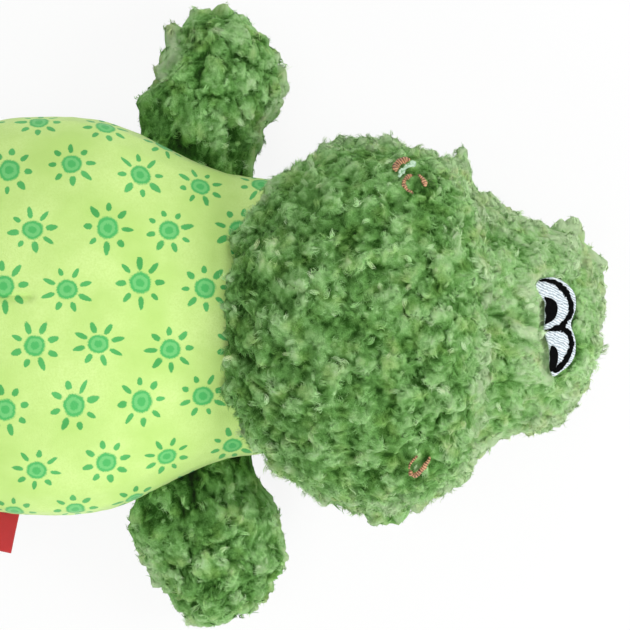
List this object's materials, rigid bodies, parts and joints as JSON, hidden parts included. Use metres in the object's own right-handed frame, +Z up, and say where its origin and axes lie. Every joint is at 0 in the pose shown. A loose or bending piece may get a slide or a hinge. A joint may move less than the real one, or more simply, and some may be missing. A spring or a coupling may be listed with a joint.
{
  "type": "plush pet toy",
  "caption": "Stuffed plush animal toy lying on its back, with a nodding head, swinging arms and legs, a squeaker inside and a side label.",
  "frame": {"origin": "on the flat of the trunk's back that the toy rests on, under the middle of the belly at its widest", "axes": "+X towards the head, +Y to the toy's right, +Z up from the floor through the belly"},
  "size_m": [0.2783, 0.207, 0.0837],
  "materials": {
    "printed_cloth": "short smooth pile, printed",
    "pile_cloth": "long curly pile",
    "fibre_fill": "loose polyester fibre",
    "white_thread": "satin stitch",
    "black_thread": "satin stitch",
    "brown_thread": "satin stitch",
    "woven_label": "fine twill ribbon",
    "bulb_plastic": "translucent moulded",
    "whistle_plastic": "moulded",
    "reed_plastic": "thin film"
  },
  "bodies": {
    "trunk": {"body_front_panel": "printed_cloth", "body_back_panel": "pile_cloth", "body_stuffing": "fibre_fill", "squeaker_bulb": "bulb_plastic", "squeaker_valve": "whistle_plastic", "squeaker_reed": "reed_plastic"},
    "head": {"head_face_panel": "pile_cloth", "head_back_panel": "pile_cloth", "head_stuffing": "fibre_fill", "eye_patch": "white_thread", "eye_outline": "black_thread", "pupil_right": "black_thread", "pupil_left": "black_thread", "nostril_right": "brown_thread", "nostril_left": "brown_thread"},
    "arm_right": {"arm_right_front_panel": "pile_cloth", "arm_right_back_panel": "pile_cloth", "arm_right_stuffing": "fibre_fill"},
    "arm_left": {"arm_left_front_panel": "pile_cloth", "arm_left_back_panel": "pile_cloth", "arm_left_stuffing": "fibre_fill"},
    "leg_right": {"leg_right_front_panel": "pile_cloth", "leg_right_back_panel": "pile_cloth", "leg_right_stuffing": "fibre_fill"},
    "leg_left": {"leg_left_front_panel": "pile_cloth", "leg_left_back_panel": "pile_cloth", "leg_left_stuffing": "fibre_fill"},
    "label": {"side_label": "woven_label"}
  },
  "joints": [
    {"name": "head_nod", "type": "hinge", "parent": "trunk", "child": "head", "pos_m": [0.072, 0, 0.028], "axis": [0, 1, 0], "range_deg": [0, 40]},
    {"name": "arm_right_swing", "type": "hinge", "parent": "trunk", "child": "arm_right", "pos_m": [0.04999, 0.05447, 0.028], "axis": [0.9357, -0.3527, 0], "range_deg": [-30, 70]},
    {"name": "arm_left_swing", "type": "hinge", "parent": "trunk", "child": "arm_left", "pos_m": [0.04999, -0.05447, 0.028], "axis": [-0.9357, -0.3527, 0], "range_deg": [-30, 70]},
    {"name": "leg_right_swing", "type": "hinge", "parent": "trunk", "child": "leg_right", "pos_m": [-0.05577, 0.04822, 0.028], "axis": [0.6996, 0.7146, 0], "range_deg": [-30, 65]},
    {"name": "leg_left_swing", "type": "hinge", "parent": "trunk", "child": "leg_left", "pos_m": [-0.05577, -0.04822, 0.028], "axis": [-0.6996, 0.7146, 0], "range_deg": [-30, 65]},
    {"name": "label_flap", "type": "hinge", "parent": "trunk", "child": "label", "pos_m": [-0.02188, -0.06429, 0.028], "axis": [-0.9763, 0.2163, 0], "range_deg": [-70, 70]}
  ]
}
